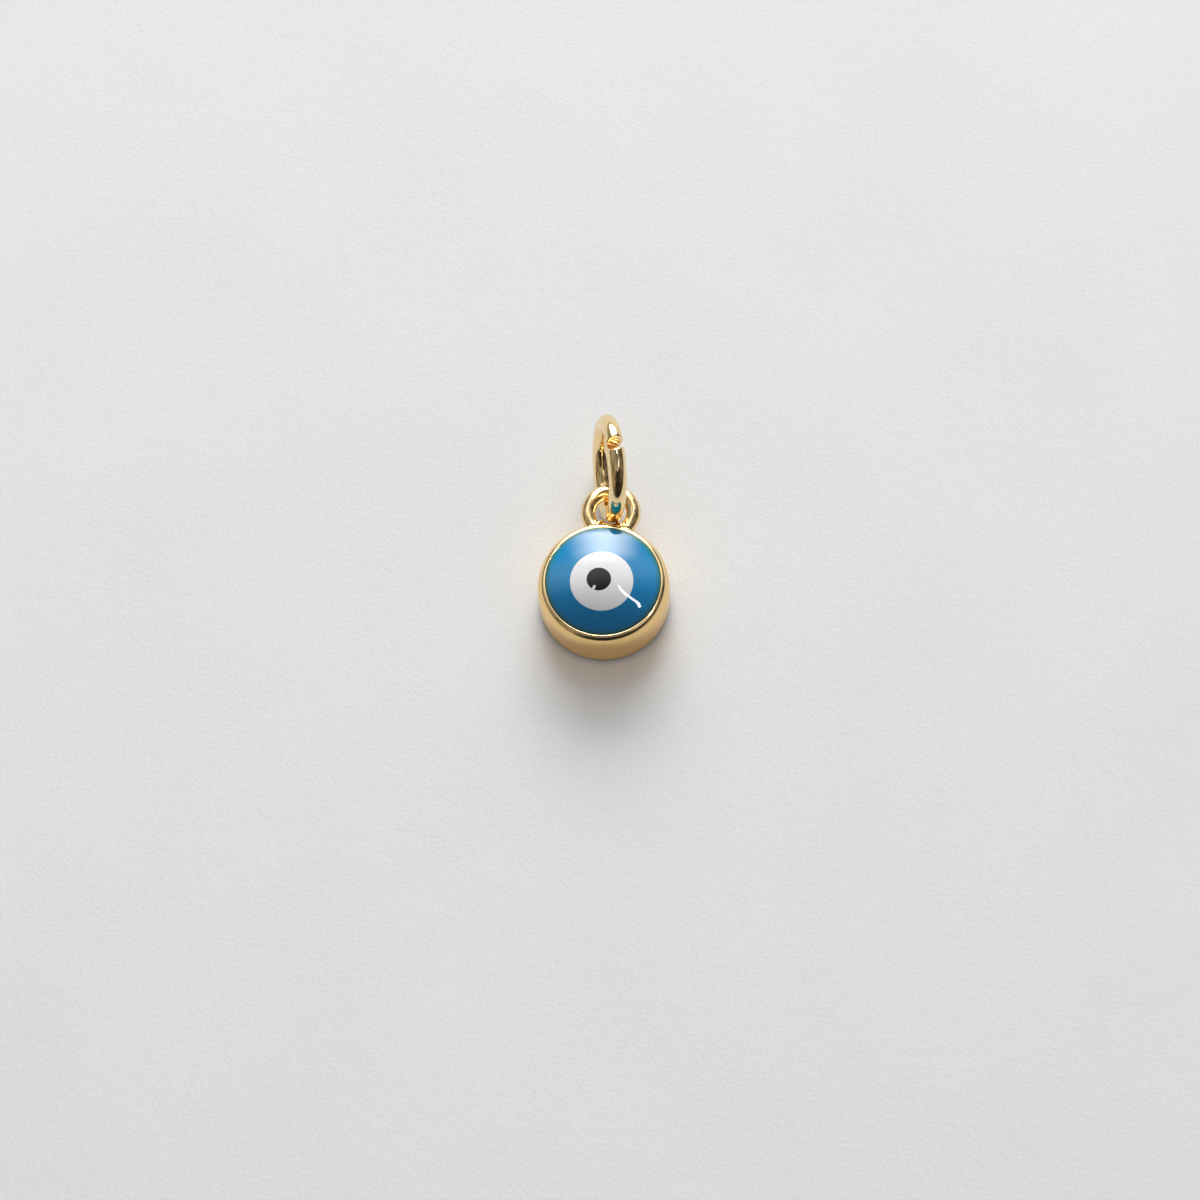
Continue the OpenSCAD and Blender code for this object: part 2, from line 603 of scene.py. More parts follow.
@dataclass(frozen=True)
class GoldPlate(Finish):
    """Gold plate on brass.

    Attributes:
        name: Name of the material.
        polish: How the plate is worked.
        bright: Colour of the plate.
        deep: Colour where the plate is thicker and redder.
        wall: Colour of the satin wall: a deeper, redder painted tint that stands in for light the gold
            mirrors twice.
        foot: Share of that colour which is left at the foot: painted shade of the dark contact shadow that
            the wall mirrors there.
        mirror: Roughness where it is polished.
        satin: Roughness where it is satin.
        loop_rough: Roughness of the loop.
        wall_top: Height at which the satin of the wall ends under the polished lip.
        wall_out: Distance from the axis out to which it is the wall.
    """

    name: str
    polish: Polish
    bright: Colour = (0.95, 0.74, 0.41)
    deep: Colour = (0.93, 0.68, 0.34)
    # wall is a painted tint that stands in for light the gold mirrors twice
    wall: Colour = (0.9, 0.62, 0.27)
    # foot: share left by the painted shade at the foot, where the wall mirrors the dark contact shadow
    foot: float = 0.3
    mirror: float = 0.05
    satin: float = 0.3
    loop_rough: float = 0.1
    wall_top: float = 2.32
    wall_out: float = 3.03

    def roughness(self, shader: Shader, place: bpy.types.NodeSocket) -> bpy.types.NodeSocket:
        """Gives the roughness: satin on the wall, a mirror on the lip, and between the two on the loop.

        Args:
            shader: The node sheet.
            place: The place on the piece.

        Returns:
            The roughness.
        """
        lip_soft, loop_soft = 0.05, 0.06
        height = shader.parts(place)["Z"]
        cup = shader.spread(height, self.wall_top - lip_soft, self.wall_top, self.satin, self.mirror)
        loop = shader.spread(shader.reach(place), self.wall_out, self.wall_out + loop_soft, 0, 1)
        rough = shader.node("ShaderNodeMix", data_type="FLOAT")
        shader.link(loop, rough.inputs["Factor"])
        shader.link(cup, rough.inputs["A"])
        rough.inputs["B"].default_value = self.loop_rough
        return rough.outputs["Result"]

    def wall_tone(self, shader: Shader, place: bpy.types.NodeSocket, rough: bpy.types.NodeSocket,
                  plate: bpy.types.NodeSocket) -> bpy.types.NodeSocket:
        """Gives the colour of the cup and the loop: a painted deeper tint on the satin wall, for light
        mirrored twice, and painted shade at its foot.

        Args:
            shader: The node sheet.
            place: The place on the piece.
            rough: The roughness, which tells where the wall is satin.
            plate: The plate's own colour.

        Returns:
            The colour.
        """
        foot_low, foot_high = 0.05, 0.42
        # painted shade: the plate darkens towards the foot, where the wall mirrors the dark contact shadow
        painted_foot_shade = shader.spread(shader.parts(place)["Z"], foot_low, foot_high, self.foot, 1)
        # painted tint: the satin wall takes the deeper wall colour, standing in for light mirrored twice
        polished = shader.spread(rough, self.mirror, self.satin, 1, 0)
        return shader.scaled(shader.mix(polished, self.wall, plate), painted_foot_shade)

    def sheared(self, shader: Shader, place: bpy.types.NodeSocket) -> None:
        """Roughens the surface with the cutter's stripes.

        Args:
            shader: The node sheet.
            place: The place on the piece.
        """
        stripe_size, stripe_depth, rough_cut, wander, detail = 0.09, 0.02, 0.22, 2.5, 3.0
        stripes = shader.node("ShaderNodeTexWave", wave_type="BANDS", bands_direction="DIAGONAL")
        stripes.inputs["Scale"].default_value = 1 / stripe_size / TURN
        stripes.inputs["Distortion"].default_value = wander
        stripes.inputs["Detail"].default_value = detail
        shader.link(place, stripes.inputs["Vector"])
        shader.set(Roughness=rough_cut)
        shader.bump(stripes.outputs["Fac"], stripe_depth)

    def material(self) -> bpy.types.Material:
        """Makes the plate: slow changes of tone, fine polishing marks, and satin where it is asked for.

        Returns:
            The material.
        """
        shader = Shader(self.name)
        place = shader.place()
        shader.set(Metallic=1.0)
        tone_size, mark_size, mark_detail, mark_depth, grain_depth = 1.3, 0.05, 3.0, 0.0006, 0.0035
        tone = shader.spread(shader.noise(place, tone_size), *TONE_SPAN, 0, 1)
        colour = shader.mix(tone, self.bright, self.deep)
        marks = shader.noise(place, mark_size, mark_detail)
        if self.polish is Polish.SHEARED:
            self.sheared(shader, place)
        elif self.polish is Polish.MIRROR:
            least, most = 0.8 * self.mirror, 1.3 * self.mirror
            shader.link(shader.spread(marks, *MARK_SPAN, least, most), shader.surface.inputs["Roughness"])
            shader.bump(marks, mark_depth)
        else:
            least_worn, most_worn = 0.85, 1.15
            rough = self.roughness(shader, place)
            colour = self.wall_tone(shader, place, rough, colour)
            worn = shader.spread(marks, *MARK_SPAN, least_worn, most_worn)
            shader.link(shader.combine("MULTIPLY", rough, worn), shader.surface.inputs["Roughness"])
            depth = shader.spread(rough, self.mirror, self.satin, mark_depth / grain_depth, 1)
            shader.bump(shader.combine("MULTIPLY", marks, depth), grain_depth)
        shader.link(colour, shader.surface.inputs["Base Color"])
        return shader.material


@dataclass(frozen=True)
class GlossResin(Finish):
    """Opaque resin with a clear gloss.

    Attributes:
        name: Name of the material.
        far: Colour on the loop's side of the eye, made lighter as painted light from the window behind.
        near: Colour on the other side, made darker as painted shade away from the window.
        rim: Tint of that colour at the very edge of the eye, as a share of its red, green and blue: a
            painted reflection of the gold lip.
        near_y: Place where the near colour is full.
        far_y: Place where the far colour is full.
        rim_from: Distance from the axis where that tint starts.
        rim_to: Distance from the axis where it is full.
        gloss: Roughness of its surface.
        cloud: How much the colour changes in soft clouds.
    """

    name: str
    far: Colour
    near: Colour
    rim: Colour = (1.0, 1.0, 1.0)
    near_y: float = -2.1
    far_y: float = 1.3
    rim_from: float = 2.35
    rim_to: float = 2.6
    gloss: float = 0.02
    cloud: float = 0.05

    def material(self) -> bpy.types.Material:
        """Makes the resin: painted light and shade that darken it from the far side to the near side, soft
        clouds, a painted reflection of the gold lip at the rim, faint ripples and wear.

        Returns:
            The material.
        """
        shader = Shader(self.name)
        place = shader.place()
        cloud_size, cloud_detail, ripple_size, ripple_depth = 0.8, 3.0, 0.9, 0.0006
        wear_size, wear_detail, wear_low, wear_high, wear_gain = 0.06, 4.0, 0.35, 0.75, 1.6
        # painted light and shade: lighter on the far side, darker on the near side, as the window light
        # falls
        depth = shader.spread(shader.parts(place)["Y"], self.near_y, self.far_y, 0, 1, smooth=True)
        body = shader.mix(depth, self.near, self.far)
        # painted reflection: the gold lip mirrored in the eye's edge, tinting the blue olive
        edge = shader.spread(shader.reach(place), self.rim_from, self.rim_to, 0, 1, smooth=True)
        tint = shader.node("ShaderNodeVectorMath", operation="MULTIPLY")
        shader.link(body, tint.inputs[0])
        shader.link(shader.mix(edge, (1.0, 1.0, 1.0), self.rim), tint.inputs[1])
        clouds = shader.noise(place, cloud_size, cloud_detail)
        light = shader.spread(clouds, *MARK_SPAN, 1 - self.cloud, 1 + self.cloud)
        shader.link(shader.scaled(tint.outputs["Vector"], light), shader.surface.inputs["Base Color"])
        wear = shader.noise(place, wear_size, wear_detail)
        shader.link(shader.spread(wear, wear_low, wear_high, self.gloss, wear_gain * self.gloss),
                    shader.surface.inputs["Roughness"])
        shader.set(IOR=RESIN_IOR)
        shader.bump(shader.noise(place, ripple_size, 1.0), ripple_depth)
        return shader.material


@dataclass(frozen=True)
class Paper(Finish):
    """Thick pale paper with a fine tooth and a few specks.

    Attributes:
        name: Name of the material.
        pale: Its colour.
        shade: Colour of its slightly darker clouds.
        speck: Colour of the specks in it.
    """

    name: str
    pale: Colour
    shade: Colour
    speck: Colour

    def material(self) -> bpy.types.Material:
        """Makes the paper: soft clouds, specks, and a relief of short fibres.

        Returns:
            The material.
        """
        shader = Shader(self.name)
        place = shader.place()
        cloud_size, cloud_detail = 9.0, 4.0
        speck_gap, speck_in, speck_out, speck_share = 9.0, 0.012, 0.02, 0.35
        tooth_size, tooth_detail, felt_size, felt_detail, felt_share = 0.16, 3.0, 0.7, 2.0, 0.8
        tooth_depth, tooth_strength = 0.024, 0.6
        clouds = shader.spread(shader.noise(place, cloud_size, cloud_detail), *MARK_SPAN, 0, 1)
        body = shader.mix(clouds, self.pale, self.shade)
        cells = shader.node("ShaderNodeTexVoronoi")
        cells.inputs["Scale"].default_value = 1 / speck_gap
        shader.link(place, cells.inputs["Vector"])
        specks = shader.spread(cells.outputs["Distance"], speck_in, speck_out, speck_share, 0)
        shader.link(shader.mix(specks, body, self.speck), shader.surface.inputs["Base Color"])
        shader.set(Roughness=0.9, Specular_IOR_Level=0.2)
        tooth = shader.noise(place, tooth_size, tooth_detail)
        felt = shader.noise(place, felt_size, felt_detail)
        relief = shader.combine("MULTIPLY_ADD", felt, felt_share)
        shader.link(tooth, relief.node.inputs[2])
        shader.bump(relief, tooth_depth, tooth_strength)
        return shader.material


@dataclass(frozen=True)
class Glow(Finish):
    """Even light of a panel, which fades towards its edges.

    Attributes:
        name: Name of the material.
        colour: Colour of the light.
        radiance: How bright the panel's middle is.
        fade: Share of the panel over which it fades, at each edge, across and up.
    """

    name: str
    colour: Colour
    radiance: float
    fade: Flat

    def material(self) -> bpy.types.Material:
        """Makes the light from the place on the panel, which runs from 0 to 1 across and up.

        Returns:
            The material.
        """
        shader = Shader(self.name)
        parts = shader.face_place()
        shares = []
        for axis, fade in zip("XY", self.fade):
            rise = shader.spread(parts[axis], 0, fade, 0, 1, smooth=True)
            fall = shader.spread(parts[axis], 1 - fade, 1, 1, 0, smooth=True)
            shares.append(shader.combine("MULTIPLY", rise, fall))
        even = shader.combine("MULTIPLY", shares[0], shares[1])
        shader.glow(self.colour, shader.combine("MULTIPLY", even, self.radiance))
        return shader.material


def fill_ramp(ramp: bpy.types.Node, stops: Sequence[tuple[float, Colour]]) -> None:
    """Gives a colour ramp its stops.

    Args:
        ramp: The ramp's node.
        stops: Each stop's place, from 0 to 1, and its colour.
    """
    made = ramp.color_ramp.elements
    while len(made) < len(stops):
        made.new(0.5)
    for stop, (place, colour) in zip(made, stops):
        stop.position = place
        stop.color = (*colour, 1)


def settle(piece: bpy.types.Object, finish: Finish, node: str) -> None:
    """Dresses a piece, rides it on the part's body and lets it stand for its CAD node.

    Args:
        piece: The piece.
        finish: Its finish.
        node: The CAD node that it stands for.
    """
    finish.dress(piece)
    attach(piece, BODY)
    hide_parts(node)
    log.info("%s: %d faces in place of node %s", piece.name, len(piece.data.polygons), node)


@dataclass(frozen=True)
class CastBump:
    """Low bump that the casting left on the loop.

    Attributes:
        along: Its angle along the loop, from the loop's far side.
        around: Its angle round the wire, from the outside of the loop.
        height: How far it stands up.
        reach: How far it spreads.
    """

    along: float
    around: float
    height: float
    reach: float


@dataclass
class PlatedSetting:
    """Bezel cup with a closed back, and the loop that is soldered to its side.

    Attributes:
        cup_r: Radius of the cup.
        cup_h: Height of the cup, to the crest of its lip.
        wall: Thickness of its wall.
        back: Thickness of its back.
        foot_r: Radius of the rounded edge round the back.
        lip_w: How far the wall's outer side curves in on its way up to the crest.
        lip_fall: How far below the crest it starts to curve in.
        lip_in: Radius of the lip's inner edge.
        wire_r: Radius of the loop's wire.
        bend_r: Radius of the loop through the middle of its wire.
        loop_y: Place of the loop's centre.
        loop_z: Height of the loop's centre.
        solder_r: Radius of the beads of solder at the loop's feet.
        fillet: How far the solder flares out where it meets the cup's wall.
        climb: Length of the wire along which it flares.
        bead_end: Length of the wire along which the bead thins out.
        bumps: The loop's cast bumps.
        finish: The gold plate.
    """

    cup_r: float = 3.0
    cup_h: float = 2.42
    wall: float = 0.4
    back: float = 0.5
    foot_r: float = 0.25
    lip_w: float = 0.34
    lip_fall: float = 0.8
    lip_in: float = 0.04
    wire_r: float = 0.34
    bend_r: float = 1.04
    loop_y: float = 3.79
    loop_z: float = 1.4099
    solder_r: float = 0.4
    fillet: float = 0.1
    climb: float = 0.18
    bead_end: float = 0.24
    bumps: tuple[CastBump, ...] = (
        CastBump(-1.25, 0.9, 0.01, 0.16), CastBump(-1.5, 1.5, 0.009, 0.12),
        CastBump(-1.72, 0.7, 0.011, 0.14), CastBump(-1.02, 1.2, 0.007, 0.12),
        CastBump(-1.42, 2.2, 0.008, 0.12),
    )
    finish: GoldPlate = field(default_factory=lambda: GoldPlate("gold_plate_cup", Polish.SATIN_WALL))

    def section(self) -> list[Flat]:
        """Gives the cup's half section, from the middle of its back over the lip to its inner floor.

        Returns:
            The points, each as a distance from the axis and a height.
        """
        flat_steps, wall_steps, lip_steps = 5, 8, 24
        bore_r, foot_x = self.cup_r - self.wall, self.cup_r - self.foot_r
        lip_x, lip_z = self.cup_r - self.lip_w, self.cup_h - self.lip_fall
        points = [(foot_x * k / flat_steps, 0.0) for k in range(1, flat_steps)]
        points += arc_row((foot_x, self.foot_r), self.foot_r, -QUARTER, 0)
        upright = lip_z - self.foot_r
        points += [(self.cup_r, self.foot_r + upright * k / wall_steps) for k in range(1, wall_steps)]
        turns = [QUARTER * k / lip_steps for k in range(lip_steps + 1)]
        points += [(lip_x + self.lip_w * math.cos(t), lip_z + self.lip_fall * math.sin(t)) for t in turns]
        inner = (bore_r + self.lip_in, self.cup_h - self.lip_in)
        points += arc_row(inner, self.lip_in, QUARTER, 2 * QUARTER)
        points += [(bore_r, self.back), (bore_r / 2, self.back)]
        return points

    def cup(self) -> bpy.types.Object:
        """Turns the section round the axis.

        Returns:
            The closed cup.
        """
        sheet = MeshSheet()
        rows = [sheet.level_row(round_row(reach), height) for reach, height in self.section()]
        for before, after in zip(rows, rows[1:]):
            sheet.bridge(before, after)
        sheet.face(rows[0])
        sheet.face(rows[-1])
        return sheet.make("setting")

    def foot_angle(self) -> float:
        """Gives the angle, from the loop's far side, at which its middle crosses the cup's wall."""
        cosine = (self.cup_r**2 - self.loop_y**2 - self.bend_r**2) / (2 * self.loop_y * self.bend_r)
        return math.acos(cosine)

    def wire_at(self, along: float, around: float) -> float:
        """Gives the radius of the loop's wire: the wire itself, the beads at its feet and small cast bumps.

        Args:
            along: Angle along the loop, from its far side.
            around: Angle round the wire, from the outside of the loop.

        Returns:
            The radius.
        """
        away = (self.foot_angle() - abs(along)) * self.bend_r
        bead = (self.solder_r - self.wire_r) * (1 - blend(0, self.bead_end, abs(away)))
        flare = self.fillet * (1 - blend(0, self.climb, max(0.0, away)))
        bumps = 0.0
        for bump in self.bumps:
            gap = math.hypot((along - bump.along) * self.bend_r, (around - bump.around) * self.wire_r)
            bumps += bump.height * (1 - blend(0, bump.reach, gap))
        return self.wire_r + bead + flare + bumps

    def loop(self) -> bpy.types.Object:
        """Bends the loop's wire, whose ends reach into the middle of the cup's wall.

        Returns:
            The closed loop.
        """
        middle = self.cup_r - self.wall / 2

        def trim(sign: float) -> Callable[[float], float]:
            """Gives where the wire meets the middle of the wall, on one side."""

            def limit(around: float) -> float:
                """Finds the angle along the loop by halving.

                Args:
                    around: Angle round the wire.

                Returns:
                    The angle along the loop.
                """
                out, inside, halvings = 0.0, sign * math.pi, 40
                for _ in range(halvings):
                    half = (out + inside) / 2
                    x, y, _z = wire.spot(half, around)
                    if math.hypot(y, self.loop_y + x) > middle:
                        out = half
                    else:
                        inside = half
                return out

            return limit

        wire = BentWire(self.bend_r, self.wire_at, trim(-1), trim(1), around=64, along=200)
        sheet = MeshSheet()
        first, last = wire.skin(sheet)
        sheet.face(first)
        sheet.face(last)
        lift = Matrix.Translation((0, self.loop_y, self.loop_z)) @ Matrix.Rotation(QUARTER, 4, "Z")
        sheet.points = [lift @ point for point in sheet.points]
        return sheet.make("loop")

    def build(self) -> None:
        """Makes the setting as one soldered piece and dresses it."""
        piece = self.cup()
        fuse(piece, self.loop())
        settle(piece, self.finish, "setting")


@dataclass
class GlossEye:
    """Low domed eye: a blue field, a white disc and a pupil with a nick, all flush.

    Attributes:
        side_r: Radius of the eye's side.
        base_z: Height of its underside.
        side_top: Height of the dome's rim, before the shoulder is rounded.
        dome_h: Rise of the dome above it.
        shoulder_r: Radius of the rounded shoulder.
        white_r: Radius of the white disc's recess.
        white_at: Centre of the white disc.
        white_t: Depth of the recess at the crown.
        pupil_r: Radius of the pupil's recess.
        pupil_at: Centre of the pupil.
        pupil_t: Depth of the pupil's recess at the crown.
        nick_w: Width of the nick.
        nick_l: How far the nick reaches in.
        nick_at: Direction of the nick, turned from +X.
        hairline: Gap between pieces that look joined.
        blue: Finish of the field.
        white: Finish of the disc.
        black: Finish of the pupil.
    """

    side_r: float = 2.597
    base_z: float = 0.52
    side_top: float = 2.468
    dome_h: float = 0.262
    shoulder_r: float = 0.06
    white_r: float = 1.435
    white_at: Flat = (-0.05, -0.09)
    white_t: float = 0.7
    pupil_r: float = 0.555
    pupil_at: Flat = (-0.18, -0.03)
    pupil_t: float = 0.4
    nick_w: float = 0.12
    nick_l: float = 0.21
    nick_at: float = math.radians(246)
    hairline: float = 0.003
    # The near colours are painted shade and the far colours painted light, so the eye darkens towards the
    # near side.
    blue: GlossResin = GlossResin("blue_resin", (0.006, 0.26, 0.56), (0.004, 0.093, 0.215),
                                  # the blue's rim tint is a painted reflection of the gold lip
                                  rim=(4.0, 0.78, 0.38))
    white: GlossResin = GlossResin("white_resin", (0.95, 0.95, 0.955), (0.44, 0.44, 0.45), cloud=0.012)
    black: GlossResin = GlossResin("black_resin", (0.004, 0.004, 0.005), (0.004, 0.004, 0.005))

    def __post_init__(self) -> None:
        """Works out the dome's sphere and where the shoulder leaves it."""
        self.dome_r = (self.side_r**2 + self.dome_h**2) / (2 * self.dome_h)
        self.crown = self.side_top + self.dome_h
        self.dome_z = self.crown - self.dome_r
        self.shoulder_x = self.side_r - self.shoulder_r
        reach = (self.dome_r - self.shoulder_r) ** 2 - self.shoulder_x**2
        self.shoulder_z = self.dome_z + math.sqrt(reach)
        self.blend_x = self.shoulder_x * self.dome_r / (self.dome_r - self.shoulder_r)

    def dome(self, x: float, y: float) -> float:
        """Gives the height of the dome over a point."""
        return self.dome_z + math.sqrt(self.dome_r**2 - x * x - y * y)

    def pupil_edge(self, gap: float) -> list[Flat]:
        """Gives the pupil's outline with its nick, made smaller by a gap.

        Args:
            gap: How much smaller it is all round.

        Returns:
            The points, anticlockwise.
        """
        steps, tip_steps = 150, 12
        radius = self.pupil_r - gap
        half = self.nick_w / 2 + gap
        mouth = math.asin(half / radius)
        tip = self.pupil_r - self.nick_l + self.nick_w / 2
        outline = []
        for k in range(steps + 1):
            turn = mouth + (TURN - 2 * mouth) * k / steps
            outline.append((radius * math.cos(turn), radius * math.sin(turn)))
        for k in range(tip_steps + 1):
            turn = -QUARTER - math.pi * k / tip_steps
            outline.append((tip + half * math.cos(turn), half * math.sin(turn)))
        turned_x, turned_y = math.cos(self.nick_at), math.sin(self.nick_at)
        at_x, at_y = self.pupil_at
        return [(at_x + x * turned_x - y * turned_y, at_y + x * turned_y + y * turned_x) for x, y in outline]

    def inlay(self, name: str, region: Region, floor: float) -> bpy.types.Object:
        """Makes a closed piece between the dome and a flat floor.

        Args:
            name: Name of the piece.
            region: Its shape seen from above.
            floor: Height of its floor.

        Returns:
            The piece.
        """
        sheet = MeshSheet()
        flat, triangles = region.triangles()
        top = sheet.row([(x, y, self.dome(x, y)) for x, y in flat])
        low = sheet.level_row(flat, floor)
        for a, b, c in triangles:
            sheet.face((top[a], top[b], top[c]))
            sheet.face((low[c], low[b], low[a]))
        first = 0
        for outline in (region.edge, *region.holes):
            last = first + len(outline)
            sheet.bridge(top[first:last], low[first:last])
            first = last
        return sheet.make(name)

    def field_piece(self) -> bpy.types.Object:
        """Makes the blue field with its shoulder, side, underside and the recess for the white disc.

        Returns:
            The piece.
        """
        sheet = MeshSheet()
        rim, recess = round_row(self.blend_x), round_row(self.white_r, self.white_at)
        flat, triangles = Region(rim, (recess,)).triangles()
        top = sheet.row([(x, y, self.dome(x, y)) for x, y in flat])
        for triangle in triangles:
            sheet.face([top[k] for k in triangle])
        before, steps = top[:len(rim)], 9
        start = math.acos((self.blend_x - self.shoulder_x) / self.shoulder_r)
        for k in range(1, steps + 1):
            turn = start * (1 - k / steps)
            reach = self.shoulder_x + self.shoulder_r * math.cos(turn)
            after = sheet.level_row(round_row(reach), self.shoulder_z + self.shoulder_r * math.sin(turn))
            sheet.bridge(before, after)
            before = after
        base = sheet.level_row(round_row(self.side_r), self.base_z)
        sheet.bridge(before, base)
        sheet.face(base)
        floor = sheet.level_row(recess, self.crown - self.white_t)
        sheet.bridge(top[len(rim):len(rim) + len(recess)], floor)
        sheet.face(floor)
        return sheet.make("cabochon")

    def build(self) -> None:
        """Makes the field, the disc and the pupil, and dresses them."""
        settle(self.field_piece(), self.blue, "cabochon")
        disc_edge = round_row(self.white_r - self.hairline, self.white_at)
        disc = self.inlay("eye_white", Region(disc_edge, (self.pupil_edge(0.0),), pitch=0.07),
                          self.crown - self.white_t + self.hairline)
        settle(disc, self.white, "eye_white")
        pupil = self.inlay("eye_pupil", Region(self.pupil_edge(self.hairline), pitch=0.05),
                           self.crown - self.pupil_t + self.hairline)
        settle(pupil, self.black, "eye_pupil")


@dataclass
class JumpRing:
    """Open jump ring that stands on its edge through the loop.

    Attributes:
        bend_r: Radius of the ring through the middle of its wire.
        wire_r: Radius of the wire.
        centre: Centre of the ring.
        turn: How far it is turned on the table.
        lean: How far it leans to its right.
        slit: Gap between the two ends on the inner side of the ring.
        bevel: Slope of each end's face, from straight across the wire; the cut opens outwards.
        rim_r: Radius of the rounded rim round each end.
        cut_at: Place of the cut, up from the far side.
        slant: Slant of the cut across the wire.
        finish: The gold plate.
        cut_finish: The plate on the two end faces.
    """

    bend_r: float = 2.1
    wire_r: float = 0.4
    centre: tuple[float, float, float] = (-0.18, 5.52, 2.4824)
    turn: float = math.radians(12)
    lean: float = math.radians(9.3)
    slit: float = 0.05
    bevel: float = math.radians(20)
    rim_r: float = 0.06
    cut_at: float = math.radians(85)
    slant: float = math.radians(11)
    finish: GoldPlate = field(default_factory=lambda: GoldPlate("gold_plate_ring", Polish.MIRROR))
    cut_finish: GoldPlate = field(default_factory=lambda: GoldPlate(
        "gold_plate_cut", Polish.SHEARED, bright=(0.95, 0.76, 0.46), deep=(0.9, 0.64, 0.32)))

    def cut_reach(self, x: float, z: float, side: float) -> float:
        """Gives how far from the cut's middle an end's face lies.

        Args:
            x: Distance out from the wire's middle, in the ring's plane.
            z: Distance across the wire, along the ring's axis.
            side: 1 for the end after the cut, -1 for the end before it.

        Returns:
            The distance along the bend, with its sign.
        """
        open_half = self.slit / 2 + (self.wire_r + x) * math.tan(self.bevel)
        return (side * open_half - z * math.sin(self.slant)) / math.cos(self.slant)

    def end_angle(self, side: float) -> Callable[[float], float]:
        """Gives where the wire's skin meets an end's face, for each angle round the wire.

        Args:
            side: 1 for the end after the cut, -1 for the end before it.

        Returns:
            The function of the angle round the wire.
        """

        def limit(around: float) -> float:
            """Closes in on the angle along the ring.

            Args:
                around: Angle round the wire.

            Returns:
                The angle along the ring.
            """
            reach, z = self.bend_r + self.wire_r * math.cos(around), self.wire_r * math.sin(around)
            away, passes = 0.0, 12
            for _ in range(passes):
                away = math.asin(self.cut_reach(reach * math.cos(away) - self.bend_r, z, side) / reach)
            return away + (0.0 if side > 0 else TURN)

        return limit

    def end_face(self, sheet: MeshSheet, rim: Row, side: float, around: int) -> None:
        """Closes one end with the cut's slope, in rings that shrink to the middle.

        Args:
            sheet: The sheet that takes the faces.
            rim: The wire's last row.
            side: 1 for the end after the cut, -1 for the end before it.
            around: Number of points round the wire.
        """
        rings, before = 8, rim
        for ring in range(1, rings):
            share = 1 - ring / rings
            points = []
            for k in range(around):
                x = (self.wire_r - self.rim_r) * share * math.cos(TURN * k / around)
                z = (self.wire_r - self.rim_r) * share * math.sin(TURN * k / around)
                points.append((self.bend_r + x, self.cut_reach(x, z, side), z))
            after = sheet.row(points)
            sheet.bridge(before, after)
            before = after
        centre = sheet.row([(self.bend_r, self.cut_reach(0.0, 0.0, side), 0.0)])[0]
        for k in range(around):
            sheet.face((before[k], before[(k + 1) % around], centre))

    def build(self) -> None:
        """Makes the ring, stands it in its place and dresses it."""
        around = 64
        start, end = self.end_angle(1.0), self.end_angle(-1.0)

        def thickness(along: float, turn: float) -> float:
            """Gives the wire's radius, which rounds off at both ends.

            Args:
                along: Angle along the ring.
                turn: Angle round the wire.

            Returns:
                The radius.
            """
            away = min(along - start(turn), end(turn) - along) * self.bend_r
            short = max(0.0, 1 - away / self.rim_r)
            return self.wire_r - self.rim_r * (1 - math.sqrt(max(0.0, 1 - short * short)))

        wire = BentWire(self.bend_r, thickness, start, end, around=around, along=320, dense_ends=True)
        sheet = MeshSheet()
        first, last = wire.skin(sheet)
        skin_faces = len(sheet.faces)
        self.end_face(sheet, first, 1.0, around)
        self.end_face(sheet, last, -1.0, around)
        stand = (Matrix.Translation(self.centre) @ Matrix.Rotation(self.turn, 4, "Z")
                 @ Matrix.Rotation(self.lean, 4, "Y") @ Matrix.Rotation(QUARTER, 4, "Z")
                 @ Matrix.Rotation(QUARTER, 4, "X") @ Matrix.Rotation(self.cut_at, 4, "Z"))
        sheet.points = [stand @ point for point in sheet.points]
        piece = sheet.make("jump_ring")
        settle(piece, self.finish, "jump_ring")
        piece.data.materials.append(self.cut_finish.material())
        for face in piece.data.polygons[skin_faces:]:
            face.material_index = 1


@dataclass(frozen=True)
class Viewpoint:
    """Directions as the photograph sees them.

    Attributes:
        azimuth: How far the view is turned from the part's +Y.
        elevation: How far the camera stands above the table's plane.
        roll: How far the camera is rolled.
    """

    azimuth: float = math.radians(9.5)
    elevation: float = math.radians(68.5)
    roll: float = math.radians(4.9)

    def direction(self, azimuth: float, elevation: float) -> Vector:
        """Gives a direction in the part's frame.

        Args:
            azimuth: Degrees to the right of straight away from the camera.
            elevation: Degrees above the table.

        Returns:
            The unit vector.
        """
        turn, lift = math.radians(azimuth) - self.azimuth, math.radians(elevation)
        return Vector((math.sin(turn) * math.cos(lift), math.cos(turn) * math.cos(lift), math.sin(lift)))


@dataclass
class PaperTable:
    """Flat sheet of paper that the pendant lies on.

    Attributes:
        side: Length of its sides.
        finish: The paper.
    """

    side: float = 4000.0
    finish: Paper = Paper("pale_paper", linear(232, 232, 232), linear(229, 229, 229), linear(190, 165, 150))

    def build(self) -> None:
        """Makes the sheet and dresses it with the paper."""
        sheet = MeshSheet()
        half = self.side / 2
        sheet.face(sheet.row([(-half, -half, 0), (half, -half, 0), (half, half, 0), (-half, half, 0)]))
        table = sheet.make("paper_table")
        self.finish.dress(table)
        log.info("paper table: %.0f mm across", self.side)


def hide_from_camera(card: bpy.types.Object, mirrored_only: bool) -> None:
    """Hides a card of the studio from the camera, which never sees it.

    Args:
        card: The card.
        mirrored_only: Whether it shows only in mirrored light and lights nothing else.
    """
    card.visible_camera = False
    if mirrored_only:
        card.visible_diffuse = False
        card.visible_shadow = False


